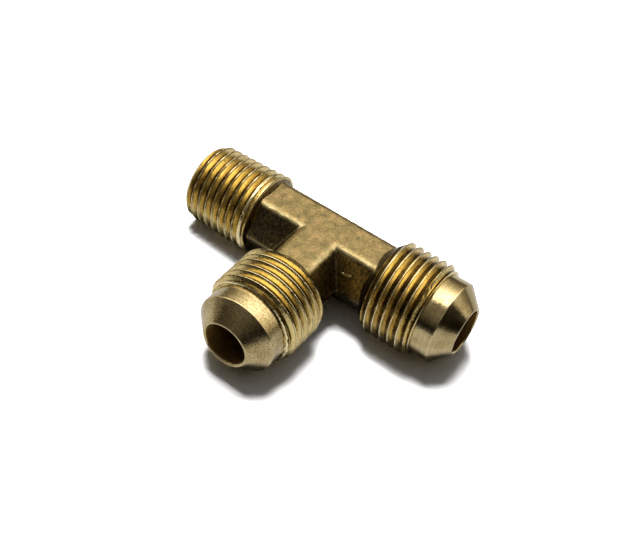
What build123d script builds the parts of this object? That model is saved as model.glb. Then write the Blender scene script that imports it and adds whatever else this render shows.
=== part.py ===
from build123d import *

import math
import os

# Male run tee for 45 degree flared tube: one brass forging, bored and threaded from
# its three ends. The origin is where the axes of the run and of the branch cross.
# +X points out of the run's flare end, -X out of the pipe end, -Y out of the branch
# and +Z up. Each part below is the stretch that one manufacturing operation leaves,
# and neighbouring stretches meet face to face, as they are all the same metal.
# All sizes are millimetres and degrees.

# --- driving dimensions -------------------------------------------------------

# Forged body: the same hexagon along the run and along the branch
body_across_flats = 11.0
body_edge_radius = 0.8

# Waterway: one drill size from all three ends
bore_diameter = 7.14
mouth_chamfer = 0.18

# Both threads have 18 turns to the inch and the same 60 degree form
thread_pitch = 25.4 / 18
thread_form_angle = 60.0

# Flare ends, 5/8-18 straight thread, alike on the run and on the branch
flare_reach = 25.92
flare_thread_diameter = 15.75
flare_thread_end = 20.30
flare_crest_flat = 0.18
flare_root_flat = 0.24
flare_end_chamfer = 0.80
flare_shoulder_start = 9.95
flare_shoulder_angle = 48.0

# Flare nose: a plain land, then the 45 degree sealing cone down to a thin rim
land_diameter = 13.48
land_edge_radius = 0.12
nose_rim_width = 0.24

# Pipe end, 1/4-18 taper thread
pipe_reach = 24.20
pipe_thread_diameter = 13.25
pipe_taper = 1 / 16
pipe_crest_flat = 0.14
pipe_root_flat = 0.10
pipe_end_chamfer = 0.90
pipe_runout_start = 13.20
pipe_runout_angle = 40.0
pipe_shoulder_start = 11.10
pipe_shoulder_angle = 70.0

# How far a shoulder stands clear of the hexagon's corners where its stretch ends
shoulder_clearance = 0.25

# --- values that follow from them ---------------------------------------------

bore_radius = bore_diameter / 2
mouth_radius = bore_radius + mouth_chamfer
body_flat_radius = body_across_flats / 2
body_corner_radius = body_flat_radius / math.cos(math.radians(30))
shoulder_radius = body_corner_radius + shoulder_clearance
flank_slope = math.tan(math.radians(thread_form_angle / 2))

flare_radius = flare_thread_diameter / 2
flare_slope = math.tan(math.radians(flare_shoulder_angle))
flare_split = flare_shoulder_start + (shoulder_radius - body_flat_radius) / flare_slope
flare_flats = (flare_crest_flat, flare_root_flat)
flare_depth = (thread_pitch - sum(flare_flats)) / (2 * flank_slope)
land_radius = land_diameter / 2
nose_rim_radius = mouth_radius + nose_rim_width
cone_start = flare_reach - (land_radius - nose_rim_radius)

pipe_half_taper = math.degrees(math.atan(pipe_taper / 2))
pipe_slope = math.tan(math.radians(pipe_shoulder_angle))
pipe_split = pipe_shoulder_start + (shoulder_radius - body_flat_radius) / pipe_slope
pipe_flats = (pipe_crest_flat, pipe_root_flat)
pipe_depth = (thread_pitch - sum(pipe_flats)) / (2 * flank_slope)
runout_turns = (pipe_depth + pipe_crest_flat) / (thread_pitch * math.tan(math.radians(pipe_runout_angle)))

# Each arm's plane holds its axis: local x runs outwards along the arm, local y is up.
run_arm = Plane(origin=(0, 0, 0), x_dir=(1, 0, 0), z_dir=(0, -1, 0))
branch_arm = Plane(origin=(0, 0, 0), x_dir=(0, -1, 0), z_dir=(-1, 0, 0))
pipe_arm = Plane(origin=(0, 0, 0), x_dir=(-1, 0, 0), z_dir=(0, 1, 0))


def pipe_crest_radius(along):
    """Crest radius of the taper thread at a distance from the centre."""
    return pipe_thread_diameter / 2 + (pipe_reach - along) * pipe_taper / 2


def hexagon_bar(arm, start, end):
    """Extrude the body's hexagon, flats up and down, between two stations of an arm."""
    square = Plane(origin=arm.origin + arm.x_dir * start, x_dir=arm.z_dir, z_dir=arm.x_dir)
    with BuildSketch(square) as section:
        RegularPolygon(radius=body_flat_radius, side_count=6, major_radius=False)
    extrude(section.sketch, amount=end - start)


def turned(arm, outline, mode=Mode.ADD):
    """Revolve an outline of (along, radius) points about an arm's axis."""
    with BuildSketch(arm) as section:
        with BuildLine():
            Polyline(*outline, close=True)
        make_face()
    revolve(section.sketch, axis=Axis(arm.origin, arm.x_dir), mode=mode)


def drilled(arm, start, end):
    """Drill the waterway between two stations of an arm."""
    turned(arm, [(start, 0), (end, 0), (end, bore_radius), (start, bore_radius)], Mode.SUBTRACT)


def shoulder(arm, start, end, slope):
    """Add the cone that swells out of the hexagon's flats up to the end of the body."""
    sunk = (shoulder_radius - body_flat_radius) / 2
    foot = start - sunk / slope
    turned(arm, [(foot, 0), (end, 0), (end, shoulder_radius), (foot, body_flat_radius - sunk)])


def groove_turn(arm, station, root_radius, depth, flats, cone_angle=0.0, turns=1.0, inwards=False):
    """Cutter for one turn of a right-hand V groove that starts at a station of an arm.

    Its four corners are helices, joined by ruled walls, so one turn meets the next exactly.
    It stands out of the blank by less than half the crest flat, so that no turns overlap.
    """
    crest_flat, root_flat = flats
    height = depth + crest_flat / (4 * flank_slope)
    half_root = root_flat / 2
    half_top = half_root + height * flank_slope
    corners = [(-half_root, 0), (half_root, 0), (half_top, height), (-half_top, height)]
    heading = arm.x_dir * (-1 if inwards else 1)
    slant_pitch = thread_pitch / math.cos(math.radians(cone_angle))
    paths = [
        Helix(slant_pitch, thread_pitch * turns, root_radius + rise, arm.x_dir * (station + along), heading,
              cone_angle)
        for along, rise in corners
    ]
    walls = [Face.make_surface_from_curves(paths[i].edge(), paths[i - 1].edge()) for i in range(4)]
    caps = [Face(Wire.make_polygon([path @ end for path in paths])) for end in (0, 1)]
    return Solid(Shell(walls + caps))


def flare_thread_blank(arm):
    """Turned blank of a flare thread, rising from the shoulder and chamfered at its outer end."""
    full_from = flare_split + (flare_radius - shoulder_radius) / flare_slope
    turned(arm, [(flare_split, bore_radius), (flare_split, shoulder_radius), (full_from, flare_radius),
                 (flare_thread_end - flare_end_chamfer, flare_radius),
                 (flare_thread_end, flare_radius - flare_end_chamfer), (flare_thread_end, bore_radius)])


def flare_groove(arm):
    """Cutters for a flare thread's groove, which runs out of the blank at both of its ends."""
    start = flare_split - thread_pitch
    count = math.ceil((flare_thread_end - start) / thread_pitch + 0.5)
    return [
        groove_turn(arm, start + turn * thread_pitch, flare_radius - flare_depth, flare_depth, flare_flats)
        for turn in range(count)
    ]


def pipe_thread_blank(arm):
    """Turned blank of the taper thread, with a chamfered end and mouth."""
    climb = pipe_crest_radius(pipe_split) - shoulder_radius
    full_from = pipe_split + climb / (pipe_slope + pipe_taper / 2)
    full_to = pipe_reach - pipe_end_chamfer
    turned(arm, [(pipe_split, bore_radius), (pipe_split, shoulder_radius),
                 (full_from, pipe_crest_radius(full_from)), (full_to, pipe_crest_radius(full_to)),
                 (pipe_reach, pipe_crest_radius(full_to) - pipe_end_chamfer),
                 (pipe_reach, mouth_radius), (pipe_reach - mouth_chamfer, bore_radius)])


def pipe_groove(arm):
    """Cutters for the taper thread's groove.

    It runs out of the end face, and towards the body it climbs out of the metal over its
    last turn, as the lead of a die leaves it.
    """
    count = math.ceil((pipe_reach - pipe_runout_start) / thread_pitch + 0.5)
    stations = [pipe_runout_start + turn * thread_pitch for turn in range(count)]
    full_turns = [
        groove_turn(arm, station, pipe_crest_radius(station) - pipe_depth, pipe_depth, pipe_flats,
                    cone_angle=-pipe_half_taper)
        for station in stations
    ]
    runout_root = pipe_crest_radius(pipe_runout_start) - pipe_depth
    runout = groove_turn(arm, pipe_runout_start, runout_root, pipe_depth, pipe_flats,
                         cone_angle=pipe_runout_angle, turns=runout_turns, inwards=True)
    return full_turns + [runout]


def flare_nose(arm):
    """Plain land and 45 degree sealing cone, with the waterway's chamfered mouth in its rim."""
    with BuildSketch(arm) as section:
        with BuildLine():
            Polyline((flare_thread_end, bore_radius), (flare_thread_end, land_radius),
                     (cone_start, land_radius), (flare_reach, nose_rim_radius),
                     (flare_reach, mouth_radius), (flare_reach - mouth_chamfer, bore_radius), close=True)
        make_face()
        fillet(section.vertices().group_by(Axis.Y)[-1].sort_by(Axis.X)[-1], land_edge_radius)
    revolve(section.sketch, axis=Axis(arm.origin, arm.x_dir))


# --- forged body --------------------------------------------------------------

with BuildPart() as forged_body:
    hexagon_bar(run_arm, -pipe_split, flare_split)
    hexagon_bar(branch_arm, 0, flare_split)
    ends = (Plane.YZ.offset(-pipe_split), Plane.YZ.offset(flare_split), Plane.XZ.offset(flare_split))
    cut_edges = [edge for edge in forged_body.edges() if any(end.contains(edge.center()) for end in ends)]
    fillet([edge for edge in forged_body.edges() if edge not in cut_edges], body_edge_radius)
    shoulder(run_arm, flare_shoulder_start, flare_split, flare_slope)
    shoulder(branch_arm, flare_shoulder_start, flare_split, flare_slope)
    shoulder(pipe_arm, pipe_shoulder_start, pipe_split, pipe_slope)
    drilled(run_arm, -pipe_split, flare_split)
    drilled(branch_arm, 0, flare_split)
forged_body.part.label = "forged_body"

# --- flare ends ---------------------------------------------------------------

run_groove = flare_groove(run_arm)
with BuildPart() as run_flare_thread:
    flare_thread_blank(run_arm)
    for turn in run_groove:
        add(turn, mode=Mode.SUBTRACT)
run_flare_thread.part.label = "run_flare_thread"

with BuildPart() as run_flare_nose:
    flare_nose(run_arm)
run_flare_nose.part.label = "run_flare_nose"

branch_groove = flare_groove(branch_arm)
with BuildPart() as branch_flare_thread:
    flare_thread_blank(branch_arm)
    for turn in branch_groove:
        add(turn, mode=Mode.SUBTRACT)
branch_flare_thread.part.label = "branch_flare_thread"

with BuildPart() as branch_flare_nose:
    flare_nose(branch_arm)
branch_flare_nose.part.label = "branch_flare_nose"

# --- pipe end -----------------------------------------------------------------

taper_groove = pipe_groove(pipe_arm)
with BuildPart() as pipe_thread:
    pipe_thread_blank(pipe_arm)
    for turn in taper_groove:
        add(turn, mode=Mode.SUBTRACT)
pipe_thread.part.label = "pipe_thread"

# --- export -------------------------------------------------------------------

os.makedirs("parts", exist_ok=True)
pieces = (
    forged_body,
    run_flare_thread,
    run_flare_nose,
    branch_flare_thread,
    branch_flare_nose,
    pipe_thread,
)
for piece in pieces:
    export_step(piece.part, f"parts/{piece.part.label}.step")
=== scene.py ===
"""Brass tee fitting: a forged tee body with two flare ends and one taper pipe end, on a pale studio floor."""

import itertools
import logging
import math
from dataclasses import dataclass
from enum import Enum

import bmesh
import bpy
import numpy as np
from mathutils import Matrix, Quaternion, Vector

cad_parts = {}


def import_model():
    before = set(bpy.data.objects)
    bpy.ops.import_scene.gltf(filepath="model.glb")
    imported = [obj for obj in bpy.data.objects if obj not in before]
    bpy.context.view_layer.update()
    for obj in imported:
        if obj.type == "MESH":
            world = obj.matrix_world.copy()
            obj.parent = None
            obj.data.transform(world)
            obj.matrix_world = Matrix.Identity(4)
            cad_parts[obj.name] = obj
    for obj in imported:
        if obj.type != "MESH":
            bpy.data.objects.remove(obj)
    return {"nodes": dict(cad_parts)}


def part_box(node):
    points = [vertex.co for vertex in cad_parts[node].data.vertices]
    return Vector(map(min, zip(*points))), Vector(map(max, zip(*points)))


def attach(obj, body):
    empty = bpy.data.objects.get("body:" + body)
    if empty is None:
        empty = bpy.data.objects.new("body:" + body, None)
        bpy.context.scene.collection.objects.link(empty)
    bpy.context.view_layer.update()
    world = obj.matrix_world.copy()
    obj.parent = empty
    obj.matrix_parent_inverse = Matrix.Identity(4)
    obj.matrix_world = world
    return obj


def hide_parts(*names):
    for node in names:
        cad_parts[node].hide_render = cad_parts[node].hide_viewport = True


log = logging.getLogger("tee_fitting")

MM = 0.001
PITCH = 25.4 / 18
BORE_RADIUS = 3.57
SHARP_ANGLE = math.radians(50)
# Settings of a Mix node that lays one colour over another, and of one that multiplies two colours
COVER = {"data_type": "RGBA"}
SHADE = {"data_type": "RGBA", "blend_type": "MULTIPLY"}

Grid = np.ndarray
Socket = bpy.types.NodeSocket


class Arm(Enum):
    """The three arms of the tee. Each value is the arm's outward axis."""

    RUN = (1.0, 0.0, 0.0)
    BRANCH = (0.0, -1.0, 0.0)
    PIPE = (-1.0, 0.0, 0.0)

    @property
    def outward(self) -> Grid:
        """The unit vector along the arm, away from the middle of the tee."""
        return np.array(self.value)

    @property
    def side(self) -> Grid:
        """The unit vector a quarter turn round from straight up."""
        return np.cross(self.outward, (0.0, 0.0, 1.0))

    def span(self, node: str) -> tuple[float, float]:
        """Where a node starts and ends along the arm.

        Args:
            node: Name of the node.

        Returns:
            Its nearest and farthest stations, in mm.
        """
        stations = np.array(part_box(node)) @ self.outward / MM
        return float(stations.min()), float(stations.max())

    def place(self, along: Grid, radius: Grid, turn: Grid) -> Grid:
        """Points of the arm: the station times the axis, plus the radius times a spoke at the angle.

        Args:
            along: Distance from the middle of the tee, in mm.
            radius: Distance from the arm's axis, in mm.
            turn: Angle round the axis from straight up, in radians.

        Returns:
            The points, with x, y and z in the last axis, in mm.
        """
        along, radius, turn = np.broadcast_arrays(along, radius, turn)
        up = np.array([0.0, 0.0, 1.0])
        spoke = np.cos(turn)[..., None] * up + np.sin(turn)[..., None] * self.side
        return along[..., None] * self.outward + radius[..., None] * spoke


def smooth_max(first: Grid, second: Grid, width: float) -> Grid:
    """The larger of two values, with a parabola across the corner where they differ by less than width.

    Args:
        first: One value.
        second: The other value.
        width: Difference inside which the two are blended.

    Returns:
        The blended value.
    """
    blend = np.clip(1 - np.abs(first - second) / width, 0, 1)
    return np.maximum(first, second) + blend * blend * width / 4


def smooth_min(first: Grid, second: Grid, width: float) -> Grid:
    """The smaller of two values, rounded in the same way as smooth_max."""
    return -smooth_max(-first, -second, width)


def ease(value: Grid, start: float, end: float) -> Grid:
    """A ramp from 0 at start to 1 at end, level at both ends."""
    ramp = np.clip((value - start) / (end - start), 0, 1)
    return ramp * ramp * (3 - 2 * ramp)


def lattice_noise(points: Grid, cell: float, seed: int) -> Grid:
    """Value noise from -1 to 1: random values at the eight corners of a cube round a point, eased together.

    Args:
        points: Points in mm.
        cell: Side of the cube in mm.
        seed: Seed of the random values.

    Returns:
        One value for each point.
    """
    values = np.random.default_rng(seed).uniform(-1, 1, 4096)
    scaled = points / cell
    corner = np.floor(scaled).astype(np.int64)
    part = scaled - corner
    part = part * part * (3 - 2 * part)
    total = np.zeros(points.shape[:-1])
    for step in itertools.product((0, 1), repeat=3):
        key = (corner + step) * np.array([73856093, 19349663, 83492791])
        weight = np.prod(np.where(step, part, 1 - part), axis=-1)
        total += weight * values[(key[..., 0] ^ key[..., 1] ^ key[..., 2]) & 4095]
    return total


def layered_noise(points: Grid, cell: float, layers: int, seed: int) -> Grid:
    """Lattice noise added up, each layer with half the cell and half the height of the one before.

    Args:
        points: Points in mm.
        cell: Largest cell in mm.
        layers: Number of layers.
        seed: Seed of the first layer.

    Returns:
        One value for each point, mostly from -1 to 1.
    """
    return sum(lattice_noise(points, cell / 2**i, seed + i) / 2**i for i in range(layers))


def ring_faces(rows: int, columns: int, closed: bool) -> Grid:
    """Quads of a grid that is closed round its columns, and also along its rows if closed.

    Args:
        rows: Number of rings.
        columns: Number of points in a ring.
        closed: Whether the last ring joins the first.

    Returns:
        Indices of the corners, four to a row.
    """
    row = np.arange(rows if closed else rows - 1)[:, None]
    column = np.arange(columns)[None, :]
    after = (column + 1) % columns
    low, high = row * columns, (row + 1) % rows * columns
    return np.stack([low + column, low + after, high + after, high + column], axis=-1).reshape(-1, 4)


def make_piece(
    name: str, points: Grid, faces: Grid, traits: dict[str, Grid], merge: float = 0.0
) -> bpy.types.Object:
    """A smooth-shaded mesh object whose faces point outwards.

    Args:
        name: Name of the object.
        points: Corner points in mm.
        faces: Indices of the corners of each quad.
        traits: Numbers kept with each point for the materials, by name.
        merge: Distance in mm within which points are made one, or 0 to leave them.

    Returns:
        The object, in metres, at the origin.
    """
    first, second, third, fourth = (points[faces[:, i]] for i in range(4))
    middle = points.mean(axis=0)
    spread = np.cross(third - first, fourth - second)
    volume = np.einsum("ij,ij->", (first + second + third + fourth) / 4 - middle, spread)
    if volume < 0:
        faces = faces[:, ::-1]
    mesh = bpy.data.meshes.new(name)
    mesh.vertices.add(len(points))
    mesh.vertices.foreach_set("co", (points * MM).astype(np.float32).ravel())
    mesh.loops.add(faces.size)
    mesh.loops.foreach_set("vertex_index", np.ascontiguousarray(faces).astype(np.int32).ravel())
    mesh.polygons.add(len(faces))
    mesh.polygons.foreach_set("loop_start", np.arange(0, faces.size, 4, dtype=np.int32))
    mesh.update(calc_edges=True)
    for trait, values in traits.items():
        store = mesh.attributes.new(trait, "FLOAT", "POINT")
        store.data.foreach_set("value", np.broadcast_to(values, len(points)).astype(np.float32))
    if merge:
        work = bmesh.new()
        work.from_mesh(mesh)
        bmesh.ops.remove_doubles(work, verts=work.verts, dist=merge * MM)
        bmesh.ops.dissolve_degenerate(work, edges=work.edges, dist=merge * MM)
        work.to_mesh(mesh)
        work.free()
    mesh.validate()
    mesh.shade_smooth()
    mesh.set_sharp_from_angle(angle=SHARP_ANGLE)
    piece = bpy.data.objects.new(name, mesh)
    bpy.context.scene.collection.objects.link(piece)
    return piece


def finish_piece(piece: bpy.types.Object, material: bpy.types.Material, slot: str, *nodes: str) -> None:
    """Gives a piece its material and its body, and hides the nodes that it stands for.

    Args:
        piece: The piece.
        material: Its material.
        slot: Name of a material slot; not used.
        nodes: The nodes that it replaces.
    """
    piece.data.materials.append(material)
    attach(piece, "root")
    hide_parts(*nodes)
    log.info("%s: %d faces", piece.name, len(piece.data.polygons))


def linear(colour: str) -> tuple[float, float, float, float]:
    """A colour in sRGB hex as linear red, green, blue and alpha."""
    parts = [int(colour[i : i + 2], 16) / 255 for i in (1, 3, 5)]
    return (*(c / 12.92 if c <= 0.04045 else ((c + 0.055) / 1.055) ** 2.4 for c in parts), 1.0)


def add(
    tree: bpy.types.NodeTree, kind: str, settings: dict | None = None, out: str = "", **links: Socket
) -> Socket | None:
    """Adds a node to a tree, with its settings and links.

    Args:
        tree: The node tree.
        kind: Type of the node, without its ShaderNode prefix.
        settings: Properties by name, input values by the input's name or identifier with colours in sRGB
            hex, and under "stops" a ramp's places and colours.
        out: Name or identifier of the output to return, or nothing for the first.
        links: Sockets to link, by the input's name or identifier, with underscores for its spaces.

    Returns:
        The output socket, or None for a node with no outputs.
    """
    node = tree.nodes.new("ShaderNode" + kind)
    inputs = {s.name: s for s in reversed(node.inputs)} | {s.identifier: s for s in node.inputs}
    outputs = {s.name: s for s in reversed(node.outputs)} | {s.identifier: s for s in node.outputs}
    for key, value in (settings or {}).items():
        if key == "stops":
            elements = node.color_ramp.elements
            while len(elements) < len(value):
                elements.new(0.5)
            for element, (place, colour) in zip(elements, value):
                element.position = place
                element.color = linear(colour)
        elif key in inputs:
            inputs[key].default_value = linear(value) if isinstance(value, str) else value
        else:
            setattr(node, key, value)
    for key, socket in links.items():
        tree.links.new(socket, inputs[key if key in inputs else key.replace("_", " ")])
    if out:
        return outputs[out]
    return node.outputs[0] if node.outputs else None


@dataclass(frozen=True)
class BrassFinish:
    """Yellow brass, shared by the three finishes: metal with a colour, a roughness and a fine relief."""

    name: str
    roughness: tuple[float, float]
    anisotropy: float = 0.0
    relief: float = 0.4
    bore_shade_colour: str = "#6E5226"

    def start(self) -> tuple[bpy.types.Material, bpy.types.NodeTree, Socket]:
        """A new material.

        Returns:
            The material, its emptied tree, and a position in mm on the piece.
        """
        material = bpy.data.materials.new(self.name)
        material.use_nodes = True
        tree = material.node_tree
        tree.nodes.clear()
        where = add(tree, "TexCoord", out="Object")
        return material, tree, add(tree, "Mapping", {"Scale": (1 / MM, 1 / MM, 1 / MM)}, Vector=where)

    def close(
        self, tree: bpy.types.NodeTree, colour: Socket, rough: Socket, height: Socket, **more: Socket
    ) -> None:
        """Adds the bore's painted shade, the relief, the metal shader and the output.

        Inside the bore the metal is dulled and painted a dark brown, a painted shade, so light dies away in
        it.

        Args:
            tree: The node tree.
            colour: Base colour.
            rough: A number from 0 to 1 that picks the roughness within this finish's range.
            height: Height of the relief, 0 to 1.
            more: Other links of the shader, such as the direction of turning marks.
        """
        low, high = self.roughness
        inside = add(tree, "Attribute", {"attribute_name": "inside"}, "Fac")
        # Painted shade: the bore is painted a dull dark brown.
        bore_painted_shade = COVER | {"B_Color": self.bore_shade_colour}
        colour = add(tree, "Mix", bore_painted_shade, "Result_Color", Factor_Float=inside, A_Color=colour)
        bare = add(tree, "ValToRGB", {"stops": ((0.0, "#FFFFFF"), (1.0, "#808080"))}, Fac=inside)
        spread = add(tree, "MapRange", {"To Min": low, "To Max": high}, Value=rough)
        bump = add(tree, "Bump", {"Strength": self.relief, "Distance": 0.05 * MM}, Height=height)
        metal = add(
            tree,
            "BsdfPrincipled",
            {"Anisotropic": self.anisotropy},
            Base_Color=colour,
            Metallic=bare,
            Roughness=spread,
            Normal=bump,
            **more,
        )
        add(tree, "OutputMaterial", Surface=metal)


@dataclass(frozen=True)
class ForgedBrass(BrassFinish):
    """Hot-forged, tumbled yellow brass: satin, mottled khaki and tan, with painted shade in dark streaks on
    the sloping sides.
    """

    name: str = "forged_brass_tumbled"
    roughness: tuple[float, float] = (0.22, 0.36)
    relief: float = 0.50

    def build(self) -> bpy.types.Material:
        """Mottling of about 1.3 mm and 0.25 mm, small pits, painted shade in streaks along the sloping sides,
        edges rubbed pale and painted paler as a highlight.

        Returns:
            The material.
        """
        material, tree, where = self.start()
        patches = add(tree, "TexNoise", {"Scale": 0.75, "Detail": 5.0}, Vector=where)
        khaki = ((0.34, "#8A7D58"), (0.52, "#9F8C61"), (0.68, "#B1986C"))
        colour = add(tree, "ValToRGB", {"stops": khaki}, Fac=patches)
        grain = add(tree, "TexNoise", {"Scale": 3.9, "Detail": 5.0, "Roughness": 0.66}, Vector=where)
        speckle = ((0.36, "#5A5338"), (0.50, "#CFD0CF"), (0.62, "#FFF6DC"))
        speckle = add(tree, "ValToRGB", {"stops": speckle}, Fac=grain)
        mottle = SHADE | {"Factor_Float": 0.55}
        colour = add(tree, "Mix", mottle, "Result_Color", A_Color=colour, B_Color=speckle)
        cells = add(tree, "TexVoronoi", {"Scale": 1.5}, Vector=where)
        pits = add(tree, "ValToRGB", {"stops": ((0.03, "#FFFFFF"), (0.11, "#000000"))}, Fac=cells)
        dirt = COVER | {"B_Color": "#4B3A1E"}
        colour = add(tree, "Mix", dirt, "Result_Color", Factor_Float=pits, A_Color=colour)
        # Painted shade: the sloping sides are covered with dark streaky brown, standing in for the shade they
        # fall into.
        side_shade_streaks_at = add(tree, "Mapping", {"Scale": (2.8, 2.8, 0.55)}, Vector=where)
        side_shade_streaks = add(tree, "TexNoise", {"Scale": 1.0, "Detail": 4.0}, Vector=side_shade_streaks_at)
        painted_side_shade = add(tree, "ValToRGB", {"stops": ((0.38, "#3B3425"), (0.60, "#7E6C45"))}, Fac=side_shade_streaks)
        sides = add(tree, "Attribute", {"attribute_name": "sides"}, "Fac")
        side_shade_share = add(tree, "Math", {"operation": "MULTIPLY", "Value_001": 0.85}, Value=sides)
        colour = add(tree, "Mix", COVER, "Result_Color", Factor_Float=side_shade_share, A_Color=colour, B_Color=painted_side_shade)
        # Edges rubbed pale by tumbling, painted paler still as a highlight on the bevels; the nick is made
        # pale too.
        worn_and_highlight = add(tree, "Attribute", {"attribute_name": "wear"}, "Fac")
        rubbed = COVER | {"B_Color": "#DCCB9B"}
        colour = add(tree, "Mix", rubbed, "Result_Color", Factor_Float=worn_and_highlight, A_Color=colour)
        satin = {"operation": "MULTIPLY_ADD", "Value_001": 0.8, "Value_002": 0.1}
        dull = add(tree, "Math", satin, Value=patches)
        rough = add(tree, "Math", {"operation": "SUBTRACT"}, Value=dull, Value_001=worn_and_highlight)
        sunk = add(tree, "Math", {"operation": "SUBTRACT"}, Value=grain, Value_001=pits)
        raised = {"operation": "MULTIPLY_ADD", "Value_001": 0.4}
        height = add(tree, "Math", raised, Value=worn_and_highlight, Value_002=sunk)
        self.close(tree, colour, rough, height)
        return material


@dataclass(frozen=True)
class ThreadedBrass(BrassFinish):
    """Cut and handled brass threads: golden flanks, pale crests partly burnished and partly a painted
    highlight, a painted line of shade under each crest, and a darker brown towards the roots.
    """

    name: str = "threaded_brass_cut"
    roughness: tuple[float, float] = (0.21, 0.38)
    relief: float = 0.30

    def build(self) -> bpy.types.Material:
        """Colour by height in the groove, with stains of about 0.5 mm, dark specks and fine cutting marks.

        Returns:
            The material.
        """
        material, tree, where = self.start()
        crest = add(tree, "Attribute", {"attribute_name": "crest"}, "Fac")
        patches = add(tree, "TexNoise", {"Scale": 0.6, "Detail": 4.0}, Vector=where)
        stain = add(tree, "TexNoise", {"Scale": 2.2, "Detail": 4.0}, Vector=where)
        wander = {"operation": "MULTIPLY_ADD", "Value_001": 0.30, "Value_002": -0.15}
        shift = add(tree, "Math", wander, Value=patches)
        level = add(tree, "Math", {"operation": "ADD", "use_clamp": True}, Value=crest, Value_001=shift)
        # By height in the groove: darker brown towards the root, golden flanks, a dark band of painted shade
        # just under the crest, and a pale crest that is partly burnish and partly painted highlight.
        groove_tones_and_painted_light = (
            (0.00, "#3A2C13"),
            (0.10, "#786231"),
            (0.22, "#D8C383"),
            (0.74, "#E2CF94"),
            (0.86, "#8E7440"),
            (0.96, "#EFE2B4"),
        )
        colour = add(tree, "ValToRGB", {"stops": groove_tones_and_painted_light}, Fac=level)
        blots = add(tree, "ValToRGB", {"stops": ((0.30, "#B08A4E"), (0.46, "#FFFFFF"))}, Fac=stain)
        colour = add(tree, "Mix", SHADE, "Result_Color", Factor_Float=patches, A_Color=colour, B_Color=blots)
        cells = add(tree, "TexVoronoi", {"Scale": 1.1}, Vector=where)
        specks = add(tree, "ValToRGB", {"stops": ((0.03, "#FFFFFF"), (0.10, "#000000"))}, Fac=cells)
        spot_colour = COVER | {"B_Color": "#3B270D"}
        colour = add(tree, "Mix", spot_colour, "Result_Color", Factor_Float=specks, A_Color=colour)
        along = add(tree, "Attribute", {"attribute_name": "along"}, "Fac")
        line = add(tree, "CombineXYZ", X=along)
        spot = {"operation": "MULTIPLY_ADD", "Vector_001": (0.05, 0.05, 0.05)}
        line_at = add(tree, "VectorMath", spot, Vector=where, Vector_002=line)
        marks = add(tree, "TexNoise", {"Scale": 4.5, "Detail": 3.0}, Vector=line_at)
        tone = add(tree, "ValToRGB", {"stops": ((0.34, "#B29E74"), (0.54, "#FFFFFF"))}, Fac=marks)
        colour = add(tree, "Mix", SHADE, "Result_Color", Factor_Float=patches, A_Color=colour, B_Color=tone)
        low = add(tree, "Math", {"operation": "SUBTRACT", "Value": 1.0, "use_clamp": True}, Value_001=crest)
        rough = add(tree, "Math", {"operation": "MULTIPLY"}, Value=low, Value_001=stain)
        height = add(tree, "Math", {"operation": "ADD"}, Value=marks, Value_001=stain)
        self.close(tree, colour, rough, height)
        return material


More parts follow.
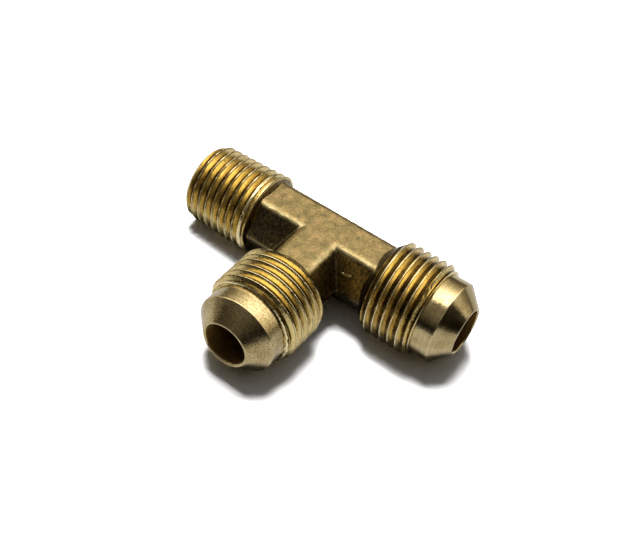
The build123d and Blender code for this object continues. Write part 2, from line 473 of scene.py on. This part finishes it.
@dataclass(frozen=True)
class TurnedBrass(BrassFinish):
    """Brass faced and turned on a lathe: pale, with fine rings, a rubbed grain and small handling scuffs."""

    name: str = "turned_brass"
    roughness: tuple[float, float] = (0.10, 0.20)
    anisotropy: float = 0.45
    relief: float = 0.20
    rub: float = 0.35
    axis: str = "X"

    def build(self) -> bpy.types.Material:
        """Broad tints, rings of about 0.2 mm along the outline, a 0.2 mm grain, scuffs, specks, and creases
        and rims rubbed pale and painted paler as a highlight.

        Returns:
            The material.
        """
        material, tree, where = self.start()
        patches = add(tree, "TexNoise", {"Scale": 0.5, "Detail": 4.0}, Vector=where)
        tints = ((0.32, "#B0A073"), (0.50, "#C6B58A"), (0.70, "#D6C89C"))
        colour = add(tree, "ValToRGB", {"stops": tints}, Fac=patches)
        along = add(tree, "Attribute", {"attribute_name": "along"}, "Fac")
        line = add(tree, "CombineXYZ", X=along)
        rings = add(tree, "TexNoise", {"Scale": 5.0, "Detail": 4.0}, Vector=line)
        tone = add(tree, "ValToRGB", {"stops": ((0.34, "#B09B70"), (0.58, "#FFFFFF"))}, Fac=rings)
        colour = add(tree, "Mix", SHADE, "Result_Color", Factor_Float=patches, A_Color=colour, B_Color=tone)
        grain = add(tree, "TexNoise", {"Scale": 4.6, "Detail": 4.0, "Roughness": 0.6}, Vector=where)
        rub = add(tree, "ValToRGB", {"stops": ((0.36, "#A08C62"), (0.56, "#FFFFFF"))}, Fac=grain)
        rubbed = SHADE | {"Factor_Float": self.rub}
        colour = add(tree, "Mix", rubbed, "Result_Color", A_Color=colour, B_Color=rub)
        slanted = {"Scale": (0.5, 6.0, 2.0), "Rotation": (0.6, 0.4, 0.9)}
        scuff_at = add(tree, "Mapping", slanted, Vector=where)
        scuffs = add(tree, "TexNoise", {"Scale": 1.0, "Detail": 3.0}, Vector=scuff_at)
        marked = add(tree, "ValToRGB", {"stops": ((0.64, "#000000"), (0.72, "#FFFFFF"))}, Fac=scuffs)
        scratched = COVER | {"B_Color": "#8F7440"}
        colour = add(tree, "Mix", scratched, "Result_Color", Factor_Float=marked, A_Color=colour)
        cells = add(tree, "TexVoronoi", {"Scale": 0.9}, Vector=where)
        specks = add(tree, "ValToRGB", {"stops": ((0.03, "#FFFFFF"), (0.10, "#000000"))}, Fac=cells)
        spot_colour = COVER | {"B_Color": "#5E4821"}
        colour = add(tree, "Mix", spot_colour, "Result_Color", Factor_Float=specks, A_Color=colour)
        # Creases and rims rubbed pale, and painted paler as a highlight.
        worn_and_highlight = add(tree, "Attribute", {"attribute_name": "wear"}, "Fac")
        pale_edge_and_highlight = COVER | {"B_Color": "#F6E6B6"}
        colour = add(tree, "Mix", pale_edge_and_highlight, "Result_Color", Factor_Float=worn_and_highlight, A_Color=colour)
        rough_grain = {"operation": "MULTIPLY_ADD", "Value_001": 0.8}
        uneven = add(tree, "Math", rough_grain, Value=grain, Value_002=rings)
        shallow = {"operation": "MULTIPLY_ADD", "Value_001": 0.3}
        height = add(tree, "Math", shallow, Value=scuffs, Value_002=uneven)
        tangent = add(tree, "Tangent", {"direction_type": "RADIAL", "axis": self.axis})
        self.close(tree, colour, patches, height, Tangent=tangent)
        return material


@dataclass
class ForgedTee:
    """The forged hexagonal body, bored through both ways. Sizes in mm."""

    across_flats: float = 11.0
    edge_blend: float = 0.80
    valley_blend: float = 0.35
    flare_shoulder: tuple[float, float] = (9.95, 48.0)
    pipe_shoulder: tuple[float, float] = (11.10, 70.0)
    shoulder_blend: float = 0.12
    parting_ridge: float = 0.05
    skin_relief: float = 0.017
    columns: int = 264
    rows: int = 64
    shoulder_rows: int = 20
    bore_rows: int = 10
    ridge_width: float = 0.28
    nick_start: tuple[float, float, float] = (5.92, -4.76, 2.76)
    nick_stop: tuple[float, float, float] = (7.51, -4.66, 2.92)
    nick_width: float = 0.11
    nick_depth: float = 0.10
    burr_height: float = 0.05
    run_in: float = 0.6
    smooth_end: tuple[float, float] = (1.1, 0.35)

    def shoulder(self, arm: Arm) -> tuple[float, float, float]:
        """An arm's shoulder.

        Args:
            arm: The arm.

        Returns:
            Where it leaves the flat in mm, its slope in degrees, and where the body's arm ends in mm.
        """
        begin, slope = self.pipe_shoulder if arm is Arm.PIPE else self.flare_shoulder
        return begin, slope, arm.span("forged_body")[1]

    def depth_outside(self, points: Grid) -> Grid:
        """How far points lie outside the body, negative inside.

        The run and the branch are each |across| sin 60 + |up| cos 60 less the half width. The smaller of the
        two, rounded, is cut by the top and bottom flats, and each shoulder is a cone about its arm.

        Args:
            points: Points in mm.

        Returns:
            Distances in mm.
        """
        half = self.across_flats / 2
        x, y, z = points[..., 0], points[..., 1], points[..., 2]
        up = np.sqrt(z * z + 0.12) * 0.5
        slant = math.sin(math.radians(60))
        run = np.abs(y) * slant + up - half
        branch = np.maximum(np.abs(x) * slant + up - half, y)
        sides = smooth_min(run, branch, self.valley_blend)
        body = smooth_max(np.abs(z) - half, sides, self.edge_blend)
        for arm in Arm:
            begin, slope, _ = self.shoulder(arm)
            along = points @ arm.outward
            round_arm = np.sqrt(np.maximum((points**2).sum(axis=-1) - along**2, 0))
            rise = math.radians(slope)
            cone = (round_arm - half) * math.cos(rise) - (along - begin) * math.sin(rise)
            body = smooth_min(body, cone, self.shoulder_blend)
        return body

    def slope_at(self, points: Grid) -> Grid:
        """The gradient of depth_outside, from small steps along each axis.

        Args:
            points: Points in mm.

        Returns:
            The gradient at each point.
        """
        step = 1e-4
        depth = self.depth_outside
        rises = [depth(points + move) - depth(points - move) for move in np.eye(3) * step]
        return np.stack(rises, axis=-1) / (2 * step)

    def settle(self, points: Grid, arm: Arm) -> Grid:
        """Moves points onto the surface by Newton steps, square to the arm's axis near its end.

        Args:
            points: Points in mm, near the surface.
            arm: The arm that they belong to.

        Returns:
            Points on the surface.
        """
        along = points @ arm.outward
        hold = ease(along, 7.4, 8.6)[..., None]
        for _ in range(7):
            slope = self.slope_at(points)
            slope = slope - hold * (slope @ arm.outward)[..., None] * arm.outward
            steepness = (slope**2).sum(axis=-1, keepdims=True)
            points = points - self.depth_outside(points)[..., None] * slope / steepness
        return points

    def skin(self, points: Grid, arm: Arm) -> tuple[Grid, Grid, Grid]:
        """Adds the forging's relief, the parting ridge and the nick.

        Args:
            points: Points on the smooth surface, in mm.
            arm: The arm that they belong to.

        Returns:
            The points, how far each is rubbed pale, partly as a painted highlight, and how far each belongs to
            the sloping sides, which get painted shade, from 0 to 1.
        """
        normal = self.slope_at(points)
        normal /= np.linalg.norm(normal, axis=-1, keepdims=True)
        end = self.shoulder(arm)[2]
        along = points @ arm.outward
        fade = 1 - ease(along, end - self.smooth_end[0], end - self.smooth_end[1])
        relief = self.skin_relief * (layered_noise(points, 1.3, 3, 11) - 0.35)
        relief += self.skin_relief * 1.2 * lattice_noise(points, 4.5, 29)
        sideways = np.abs(normal[..., 2]) < 0.9
        ridge = self.parting_ridge * np.exp(-((points[..., 2] / self.ridge_width) ** 2)) * sideways
        ridge *= 0.7 + 0.6 * lattice_noise(points, 1.7, 41)
        start = np.array(self.nick_start)
        line = np.array(self.nick_stop) - start
        share = np.clip((points - start) @ line / (line @ line), 0, 1)
        off = np.linalg.norm(points - start - share[..., None] * line, axis=-1)
        cut = np.exp(-((off / self.nick_width) ** 2))
        burr = np.exp(-(((off - 2 * self.nick_width) / 0.10) ** 2))
        # The bevels between the top flat and the sloping sides: real rubbing and a painted highlight.
        edge = np.clip(1 - np.abs(np.abs(normal[..., 2]) - 0.78) / 0.22, 0, 1)
        wear = np.clip(edge * fade * (0.35 + 0.5 * layered_noise(points, 0.9, 3, 53)), 0, 1)
        wear = np.clip(wear + 0.9 * cut, 0, 1)
        lift = (relief + ridge) * fade - self.nick_depth * cut + self.burr_height * burr
        on_flat = np.abs(points[..., 2]) > self.across_flats / 2 - 0.05
        lift = np.where(on_flat, np.minimum(lift, 0.0), lift)
        # The last value marks the sloping sides, from 0 to 1, for their painted shade.
        return points + lift[..., None] * normal, wear, 1 - ease(np.abs(normal[..., 2]), 0.62, 0.90)

    def arm_strip(self, arm: Arm) -> tuple[Grid, Grid, dict[str, Grid]]:
        """One arm: out along the hexagon from the mitre, over the end and back along the bore.

        The mitre starts where station = radius times |sin turn| on a side that meets another arm at a right
        angle, and at the middle of the tee on a side that meets the opposite arm.

        Args:
            arm: The arm.

        Returns:
            Points, faces, and each point's rubbing with its painted highlight, whether it is in the bore, and
            how far it is on the sloping sides, which get painted shade.
        """
        even = np.linspace(0, 2 * np.pi, self.columns, endpoint=False)
        turn = even + 0.55 * np.sin(6 * even) / 6
        half = self.across_flats / 2
        outline = half / np.cos((turn + np.pi / 6) % (np.pi / 3) - np.pi / 6)
        sine = np.sin(turn)
        meets = {Arm.RUN: np.maximum(sine, 0), Arm.PIPE: np.maximum(-sine, 0), Arm.BRANCH: np.abs(sine)}[arm]
        begin, slope, end = self.shoulder(arm)
        share = np.linspace(0, 1, self.rows)[:, None]
        body = outline * meets + share * (begin - self.run_in - outline * meets)
        rise = np.linspace(begin - self.run_in, end, self.shoulder_rows + 1)[1:, None]
        station = np.concatenate([body, np.broadcast_to(rise, (self.shoulder_rows, self.columns))])
        radius = np.maximum(outline, half + (station - begin) * math.tan(math.radians(slope)))
        outer = self.settle(arm.place(station, radius, turn), arm)
        outer, wear, sides = self.skin(outer, arm)
        back = np.linspace(1, 0, self.bore_rows)[:, None]
        inner_start = BORE_RADIUS * meets
        inner = arm.place(inner_start + back * (end - inner_start), np.full_like(back, BORE_RADIUS), turn)
        points = np.concatenate([outer, inner])
        inside = np.concatenate([np.zeros(outer.shape[:2]), np.ones(inner.shape[:2])])
        wear = np.concatenate([wear, np.zeros(inner.shape[:2])])
        sides = np.concatenate([sides, np.zeros(inner.shape[:2])])
        traits = {"wear": wear, "inside": inside, "sides": sides}
        return points, ring_faces(len(points), self.columns, False), traits

    def build(self) -> bpy.types.Object:
        """The body's mesh, with the three arms merged along their mitres, and its material.

        Returns:
            The piece.
        """
        strips = [self.arm_strip(arm) for arm in Arm]
        starts = np.cumsum([0] + [points.shape[0] * points.shape[1] for points, _, _ in strips])
        points = np.concatenate([points.reshape(-1, 3) for points, _, _ in strips])
        faces = np.concatenate([quads + start for (_, quads, _), start in zip(strips, starts)])
        traits = {key: np.concatenate([kept[key].ravel() for _, _, kept in strips]) for key in strips[0][2]}
        piece = make_piece("tee_body_forging", points, faces, traits, merge=1e-3)
        finish_piece(piece, ForgedBrass().build(), "forged_brass", "forged_body")
        return piece


@dataclass
class ScrewThread:
    """An outside thread cut on an arm, with the bore through it. Sizes in mm."""

    name: str
    node: str
    arm: Arm
    shoulder_radius: float
    shoulder_slope: float
    end_radius: float
    taper: float
    chamfer: float
    chamfer_length: float
    chamfer_depth: float
    neck_radius: float
    depth: float
    crest_flat: float
    root_flat: float
    crest_station: float
    fade_from: float
    fade_slope: float
    ragged_end: float
    lip_radius: float
    seed: int
    start: float = 0.0
    end: float = 0.0
    lip_back: float = 0.17
    lip_round: float = 14.0
    lip_wave: float = 0.03
    drift: float = 0.05
    burr_height: float = 0.012
    dents: int = 46
    root_round: float = 0.08
    crest_round: float = 0.03
    edge_round: float = 0.06
    shoulder_round: float = 0.10
    ragged_span: tuple[float, float] = (2.0, 0.7)
    face_tone: float = 0.6
    mouth: float = 0.03
    columns: int = 288
    rows_per_pitch: int = 25

    def __post_init__(self) -> None:
        """Takes the thread's two ends from its node."""
        self.start, self.end = self.arm.span(self.node)

    def envelope(self, along: Grid) -> Grid:
        """Radius of the blank: the shoulder cone, the crest line, the end chamfer, the neck behind the lip.

        Args:
            along: Station in mm.

        Returns:
            Radius in mm.
        """
        crest = self.crest_radius(along)
        climb = self.shoulder_radius + (along - self.start) * math.tan(math.radians(self.shoulder_slope))
        past = along - (self.end - self.chamfer)
        fall = self.crest_radius(self.end) - past * self.chamfer_depth / self.chamfer_length
        fall = smooth_max(fall, np.full_like(fall, self.neck_radius), self.root_round)
        return smooth_min(smooth_min(crest, climb, self.shoulder_round), fall, self.root_round)

    def crest_radius(self, along: Grid) -> Grid:
        """Crest radius at a station: the end radius plus half the taper times the way back from the end."""
        return self.end_radius + (self.end - along) * self.taper / 2

    def surface(self, along: Grid, turn: Grid) -> tuple[Grid, Grid]:
        """The threaded surface: the smaller of the blank and a V groove that climbs one pitch in a turn.

        Distance from the groove's middle is station less pitch times turn over a full turn, modulo the pitch.
        The radius rises from the root by that distance less half the root flat, over the flank's slope.

        Args:
            along: Station in mm.
            turn: Angle in radians.

        Returns:
            Radius in mm, and height in the groove from 0 at the root to 1 at the crest, raised towards 1 on
            the lip so that it is painted pale as a highlight.
        """
        crest = self.crest_radius(along)
        spot = self.arm.place(along, crest, turn)
        wander = self.drift * lattice_noise(spot, 5.0, self.seed)
        climbed = PITCH * turn / (2 * np.pi) + self.crest_station
        from_middle = np.mod(along - climbed + wander, PITCH) - PITCH / 2
        run = (PITCH - self.crest_flat - self.root_flat) / 2
        rise = (np.abs(from_middle) - self.root_flat / 2) * self.depth / run
        shallow = np.maximum((self.fade_from - along) * self.fade_slope, 0)
        floor = smooth_max(rise, np.zeros_like(rise), self.root_round) + shallow
        height = smooth_min(floor, np.full_like(rise, self.depth), self.crest_round)
        burr = self.burr_height * layered_noise(spot, 0.5, 2, self.seed + 3)
        late = ease(along, self.end - self.ragged_span[0], self.end - self.ragged_span[1]) * self.ragged_end
        torn = late * np.maximum(layered_noise(spot, 0.5, 3, self.seed + 5) + 0.3, 0)
        top = ease(height / self.depth, 0.55, 1.0)
        radius = smooth_min(crest - self.depth + height, self.envelope(along), self.edge_round)
        lip = self.lip_radius - (along - self.end + self.lip_back) ** 2 * self.lip_round
        lip = lip + self.lip_wave * layered_noise(spot, 1.5, 3, self.seed + 7)
        # Painted highlight: the lip counts as crest, so it takes the pale crest colour.
        lip_highlight = ease(lip - radius, -0.02, 0.06)
        radius = smooth_max(radius, lip, self.crest_round)
        radius = radius - top * (np.abs(burr) + torn) - self.nicks(along, turn) * top
        return radius, np.maximum(np.clip((radius - crest + self.depth) / self.depth, 0, 1), lip_highlight)

    def nicks(self, along: Grid, turn: Grid) -> Grid:
        """Depth of small knocks on the crests: each a bell shape round a seeded place, the deepest one kept.

        Args:
            along: Station in mm.
            turn: Angle in radians.

        Returns:
            Depth in mm.
        """
        random = np.random.default_rng(self.seed)
        dents = np.zeros(np.broadcast(along, turn).shape)
        for _ in range(self.dents):
            at, angle = random.uniform(self.start + 0.8, self.end - 0.2), random.uniform(0, 2 * np.pi)
            size, deep = random.uniform(0.12, 0.42), random.uniform(0.03, 0.14)
            round_off = np.angle(np.exp(1j * (turn - angle))) * self.end_radius
            dents = np.maximum(dents, deep * np.exp(-((along - at) ** 2 + round_off**2) / size**2))
        return dents

    def build(self, material: bpy.types.Material) -> bpy.types.Object:
        """The thread as a closed ring: out along the crests, over the end, back along the bore.

        Args:
            material: Its finish.

        Returns:
            The piece.
        """
        turn = np.linspace(0, 2 * np.pi, self.columns, endpoint=False)[None, :]
        rows = int((self.end - self.start) / PITCH * self.rows_per_pitch)
        along = np.linspace(self.start, self.end, rows)[:, None]
        radius, crest = self.surface(along, turn)
        wide = np.broadcast_to(along, radius.shape)
        back = np.r_[self.end, np.linspace(self.end - self.mouth, self.start, 8)]
        back = back[:, None] * np.ones_like(turn)
        bore = np.full_like(back, BORE_RADIUS)
        in_bore = np.ones_like(bore)
        in_bore[0] = 0
        station = np.concatenate([wide, back])
        points = self.arm.place(station, np.concatenate([radius, bore]), turn)
        inside = np.concatenate([np.zeros_like(radius), in_bore])
        traits = {
            "crest": np.concatenate([crest, self.face_tone * (1 - in_bore)]).ravel(),
            "along": station.ravel(),
            "inside": inside.ravel(),
        }
        faces = ring_faces(len(points), self.columns, True)
        piece = make_piece(self.name, points.reshape(-1, 3), faces, traits)
        finish_piece(piece, material, "threaded_brass", self.node)
        return piece


def flare_thread(name: str, node: str, arm: Arm, crest_station: float, seed: int) -> ScrewThread:
    """A straight 5/8-18 flare thread for an arm.

    Args:
        name: Name of the piece.
        node: Node that it replaces.
        arm: Its arm.
        crest_station: Where a crest crosses the top of the arm, in mm.
        seed: Seed of its wander, burrs, ragged end, lip and knocks.

    Returns:
        The thread.
    """
    return ScrewThread(
        name, node, arm, shoulder_radius=6.601, shoulder_slope=48.0, end_radius=7.875, taper=0.0,
        chamfer=1.0, chamfer_length=0.62, chamfer_depth=1.0, neck_radius=6.86, depth=0.858,
        crest_flat=0.10, root_flat=0.24, crest_station=crest_station, fade_from=0.0, fade_slope=0.0,
        ragged_end=0.15, lip_radius=7.30, seed=seed,
    )


def pipe_thread() -> ScrewThread:
    """The 1/4-18 taper pipe thread, shallow and wide-crested where it runs out at the body."""
    return ScrewThread(
        "taper_pipe_thread", "pipe_thread", Arm.PIPE, shoulder_radius=6.601, shoulder_slope=70.0,
        end_radius=6.625, taper=1 / 16, chamfer=0.90, chamfer_length=0.90, chamfer_depth=0.90,
        neck_radius=0.0, depth=1.014, crest_flat=0.05, root_flat=0.10, crest_station=17.085,
        fade_from=13.5, fade_slope=0.36, ragged_end=0.05, lip_radius=0.0, seed=71,
    )


@dataclass
class FlareNose:
    """The turned land and 45 degree flare seat on the end of an arm. Sizes in mm."""

    name: str
    node: str
    arm: Arm
    seed: int
    back: float = 0.0
    tip: float = 0.0
    land_radius: float = 6.74
    rim_radius: float = 3.99
    mouth_chamfer: float = 0.18
    edge_wear_and_highlight: float = 0.16
    columns: int = 256
    spacing: float = 0.09

    def __post_init__(self) -> None:
        """Takes the nose's two ends from its node."""
        self.back, self.tip = self.arm.span(self.node)

    def profile(self) -> tuple[Grid, Grid, Grid, Grid]:
        """The closed outline of the nose, as straight runs with rounded corners.

        Each corner is cut back by a small length on both sides. A quadratic curve joins the two cut ends, with
        the corner as its middle point.

        Returns:
            Stations, radii, whether each point is in the bore, and how rubbed it is, with its painted
            highlight.
        """
        cone_start = self.tip - (self.land_radius - self.rim_radius)
        corners = np.array(
            [
                (self.back, BORE_RADIUS),
                (self.back, self.land_radius),
                (cone_start, self.land_radius),
                (self.tip, self.rim_radius),
                (self.tip, BORE_RADIUS + self.mouth_chamfer),
                (self.tip - self.mouth_chamfer, BORE_RADIUS),
            ]
        )
        cuts = (0.0, 0.0, 0.10, 0.06, 0.03, 0.03)
        pieces, wear = [], []
        for i, corner in enumerate(corners):
            before, after = corners[i - 1], corners[(i + 1) % len(corners)]
            back_way = (before - corner) / np.linalg.norm(before - corner)
            way = (after - corner) / np.linalg.norm(after - corner)
            t = np.linspace(0, 1, 5 if cuts[i] else 1)[:, None]
            pieces.append(corner + back_way * cuts[i] * (1 - t) ** 2 + way * cuts[i] * t**2)
            # The crease at the cone, the rim and the mouth's edge: rubbed pale and given a painted highlight.
            wear.append(np.full(len(t), self.edge_wear_and_highlight if 1 < i < 5 else 0.0))
            leave, reach = corner + way * cuts[i], after - way * cuts[(i + 1) % len(cuts)]
            count = max(int(np.linalg.norm(reach - leave) / self.spacing), 2)
            t = np.linspace(0, 1, count, endpoint=False)[1:, None]
            pieces.append(leave + t * (reach - leave))
            wear.append(np.zeros(len(t)))
        line = np.concatenate(pieces)
        inside = (line[:, 1] < BORE_RADIUS + 0.02) * 1.0
        return line[:, 0], line[:, 1], inside, np.concatenate(wear)

    def build(self, material: bpy.types.Material) -> bpy.types.Object:
        """The nose: its outline turned round the arm, a little out of true, with shallow knocks.

        Args:
            material: Its finish.

        Returns:
            The piece.
        """
        along, radius, inside, wear = self.profile()
        turn = np.linspace(0, 2 * np.pi, self.columns, endpoint=False)[None, :]
        station = along[:, None] * np.ones_like(turn)
        spread = radius[:, None] * np.ones_like(turn)
        spot = self.arm.place(station, spread, turn)
        outer = ((1 - inside) * (along > self.back + 0.02) * (along < self.tip - 0.02))[:, None]
        knocks = 0.010 * layered_noise(spot, 1.6, 3, self.seed)
        out_of_true = 0.008 * lattice_noise(spot, 5.0, self.seed + 9)
        spread = spread - outer * np.abs(knocks + out_of_true)
        points = self.arm.place(station, spread, turn)
        rub = np.clip(wear[:, None] * (0.75 + 0.5 * layered_noise(spot, 0.9, 2, self.seed + 4)), 0, 1)
        steps = np.hypot(np.diff(along, prepend=along[-1]), np.diff(radius, prepend=radius[-1]))
        traits = {
            "along": np.repeat(np.cumsum(steps), self.columns),
            "inside": np.repeat(inside, self.columns),
            "wear": rub.ravel(),
        }
        faces = ring_faces(len(along), self.columns, True)
        piece = make_piece(self.name, points.reshape(-1, 3), faces, traits)
        finish_piece(piece, material, "turned_brass", self.node)
        return piece


@dataclass
class Softbox:
    """A square diffused light. Places and sizes in metres."""

    name: str
    place: tuple[float, float, float]
    size: tuple[float, float]
    watts: float
    colour: str = "#FFFFFF"

    def build(self) -> None:
        """The light, turned to face the tee. It lights the table, and the brass mirrors the room's glow."""
        light = bpy.data.lights.new(self.name, "AREA")
        light.shape = "RECTANGLE"
        light.size, light.size_y = self.size
        light.energy = self.watts
        light.color = linear(self.colour)[:3]
        lamp = bpy.data.objects.new(self.name, light)
        lamp.location = self.place
        lamp.rotation_mode = "QUATERNION"
        lamp.rotation_quaternion = (-Vector(self.place)).to_track_quat("-Z", "Y")
        lamp.visible_glossy = False
        bpy.context.scene.collection.objects.link(lamp)


@dataclass
class Studio:
    """Camera, white table, soft lights and a dim warm room. Places in metres."""

    eye: tuple[float, float, float] = (0.05788, -0.10992, 0.12543)
    target: tuple[float, float, float] = (-0.00391, -0.00319, -0.00078)
    roll: float = 8.51
    lens: float = 62.32
    shift: tuple[float, float] = (0.0406, -0.0248)
    table_radius: float = 0.33
    flare_rest: tuple[float, float] = (0.0120, 0.007875)
    pipe_rest: tuple[float, float] = (0.0233, 0.006650)
    table_in_brass: str = "#9A9997"
    diffuser_strength: float = 3.6
    away_from_front: tuple[float, float, float] = (-0.447, 0.894, 0.0)
    front_edge: tuple[tuple[float, str], ...] = (
        (0.447, "#000000"),
        (0.487, "#FFFFFF"),
        (0.66, "#FFFFFF"),
        (0.85, "#C3C0B8"),
        (0.97, "#898478"),
    )
    height_fall: tuple[tuple[float, str], ...] = (
        (0.00, "#3A352C"),
        (0.25, "#7C776C"),
        (0.50, "#B3AFA6"),
        (0.70, "#CECBC4"),
        (0.85, "#EDEBE6"),
        (0.95, "#FFFFFF"),
    )
    ceiling: tuple[tuple[float, str], ...] = ((0.0, "#120F0B"), (0.25, "#1C1812"), (0.80, "#958F84"))
    lights: tuple[Softbox, ...] = (
        Softbox("key_softbox", (-0.066, 0.026, 0.49), (0.15, 0.15), 6.4),
        Softbox("overhead_fill", (0.05, -0.05, 0.50), (0.55, 0.55), 0.50, "#F4F6FF"),
    )

    def camera(self) -> None:
        """The camera: turned from eye to target, then rolled about its own axis."""
        data = bpy.data.cameras.new("camera")
        data.sensor_width = 36.0
        data.lens = self.lens
        data.shift_x, data.shift_y = self.shift
        data.clip_start, data.clip_end = 0.005, 20.0
        camera = bpy.data.objects.new("camera", data)
        camera.location = self.eye
        look = (Vector(self.target) - Vector(self.eye)).to_track_quat("-Z", "Y")
        camera.rotation_mode = "QUATERNION"
        camera.rotation_quaternion = look @ Quaternion((0, 0, 1), math.radians(self.roll))
        bpy.context.scene.collection.objects.link(camera)
        bpy.context.scene.camera = camera

    def table(self) -> None:
        """A wide white disc on which the fitting rests.

        The flare threads touch it at their inner ends and the thinner pipe thread at its outer end, so it is
        tilted: its height is the flare thread's low point plus the tilt times the way back from there. In the
        brass it shows as a grey card, because it is lit well past white.
        """
        (flare_at, flare_down), (pipe_at, pipe_down) = self.flare_rest, self.pipe_rest
        tilt = (flare_down - pipe_down) / (flare_at + pipe_at)
        angle = np.linspace(0, 2 * np.pi, 96, endpoint=False)
        x, y = self.table_radius * np.cos(angle), self.table_radius * np.sin(angle)
        z = -flare_down + tilt * (flare_at - x + y)
        mesh = bpy.data.meshes.new("white_table")
        mesh.from_pydata(np.stack([x, y, z], axis=-1).tolist(), [], [list(range(96))])
        disc = bpy.data.objects.new("white_table", mesh)
        material = bpy.data.materials.new("white_laminate")
        material.use_nodes = True
        tree = material.node_tree
        tree.nodes.clear()
        mirrored = add(tree, "LightPath", out="Is Glossy Ray")
        card = COVER | {"A_Color": "#F4F4F2", "B_Color": self.table_in_brass}
        colour = add(tree, "Mix", card, "Result_Color", Factor_Float=mirrored)
        matt = {"Roughness": 0.7, "Specular IOR Level": 0.0}
        add(tree, "OutputMaterial", Surface=add(tree, "BsdfPrincipled", matt, Base_Color=colour))
        mesh.materials.append(material)
        bpy.context.scene.collection.objects.link(disc)

    def room(self) -> None:
        """A dark warm room under a big diffuser that ends in front and fades to the back and the horizon.

        Brightness is a fall from front to back times a fall along height, plus a dim ceiling that rises with
        height. Past the table's edge there is plain white paper.
        """
        world = bpy.data.worlds.new("dim_room")
        world.use_nodes = True
        tree = world.node_tree
        tree.nodes.clear()
        towards = add(tree, "TexCoord", out="Generated")
        up = add(tree, "SeparateXYZ", out="Z", Vector=towards)
        away = {"operation": "DOT_PRODUCT", "Vector_001": self.away_from_front}
        back = add(tree, "VectorMath", away, "Value", Vector=towards)
        half = {"operation": "MULTIPLY_ADD", "Value_001": 0.5, "Value_002": 0.5}
        depth = add(tree, "Math", half, Value=back)
        fall = add(tree, "ValToRGB", {"stops": self.front_edge}, Fac=depth)
        height = add(tree, "ValToRGB", {"stops": self.height_fall}, Fac=up)
        whole = add(tree, "VectorMath", {"operation": "MULTIPLY"}, Vector=fall, Vector_001=height)
        diffuser = add(tree, "Background", {"Strength": self.diffuser_strength}, Color=whole)
        dim = add(tree, "Background", Color=add(tree, "ValToRGB", {"stops": self.ceiling}, Fac=up))
        both = add(tree, "AddShader", Shader=diffuser, Shader_001=dim)
        paper = add(tree, "Background", {"Color": "#FFFFFF"})
        seen = add(tree, "LightPath", out="Is Camera Ray")
        whole = add(tree, "MixShader", Fac=seen, Shader=both, Shader_001=paper)
        add(tree, "OutputWorld", Surface=whole)
        world.cycles_visibility.diffuse = False
        bpy.context.scene.world = world

    def build(self) -> None:
        """The whole studio, camera first."""
        self.camera()
        self.table()
        self.room()
        for light in self.lights:
            light.build()
        bpy.context.scene.view_settings.view_transform = "Standard"


def main() -> None:
    """Builds the studio and each piece of the fitting."""
    logging.basicConfig(level=logging.INFO, format="%(name)s %(message)s")
    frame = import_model()
    log.info("frame: %d nodes", len(frame["nodes"]))
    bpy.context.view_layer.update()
    Studio().build()
    ForgedTee().build()
    cut = ThreadedBrass().build()
    flare_thread("run_flare_thread_cut", "run_flare_thread", Arm.RUN, 16.485, 17).build(cut)
    flare_thread("branch_flare_thread_cut", "branch_flare_thread", Arm.BRANCH, 16.2, 37).build(cut)
    pipe_thread().build(cut)
    run_turned = TurnedBrass(name="turned_brass_run", axis="X").build()
    branch_turned = TurnedBrass(
        name="turned_brass_branch", axis="Y", roughness=(0.15, 0.26), rub=0.65, relief=0.24
    ).build()
    FlareNose("run_flare_seat", "run_flare_nose", Arm.RUN, 83).build(run_turned)
    FlareNose("branch_flare_seat", "branch_flare_nose", Arm.BRANCH, 97).build(branch_turned)


if __name__ == "__main__":
    main()
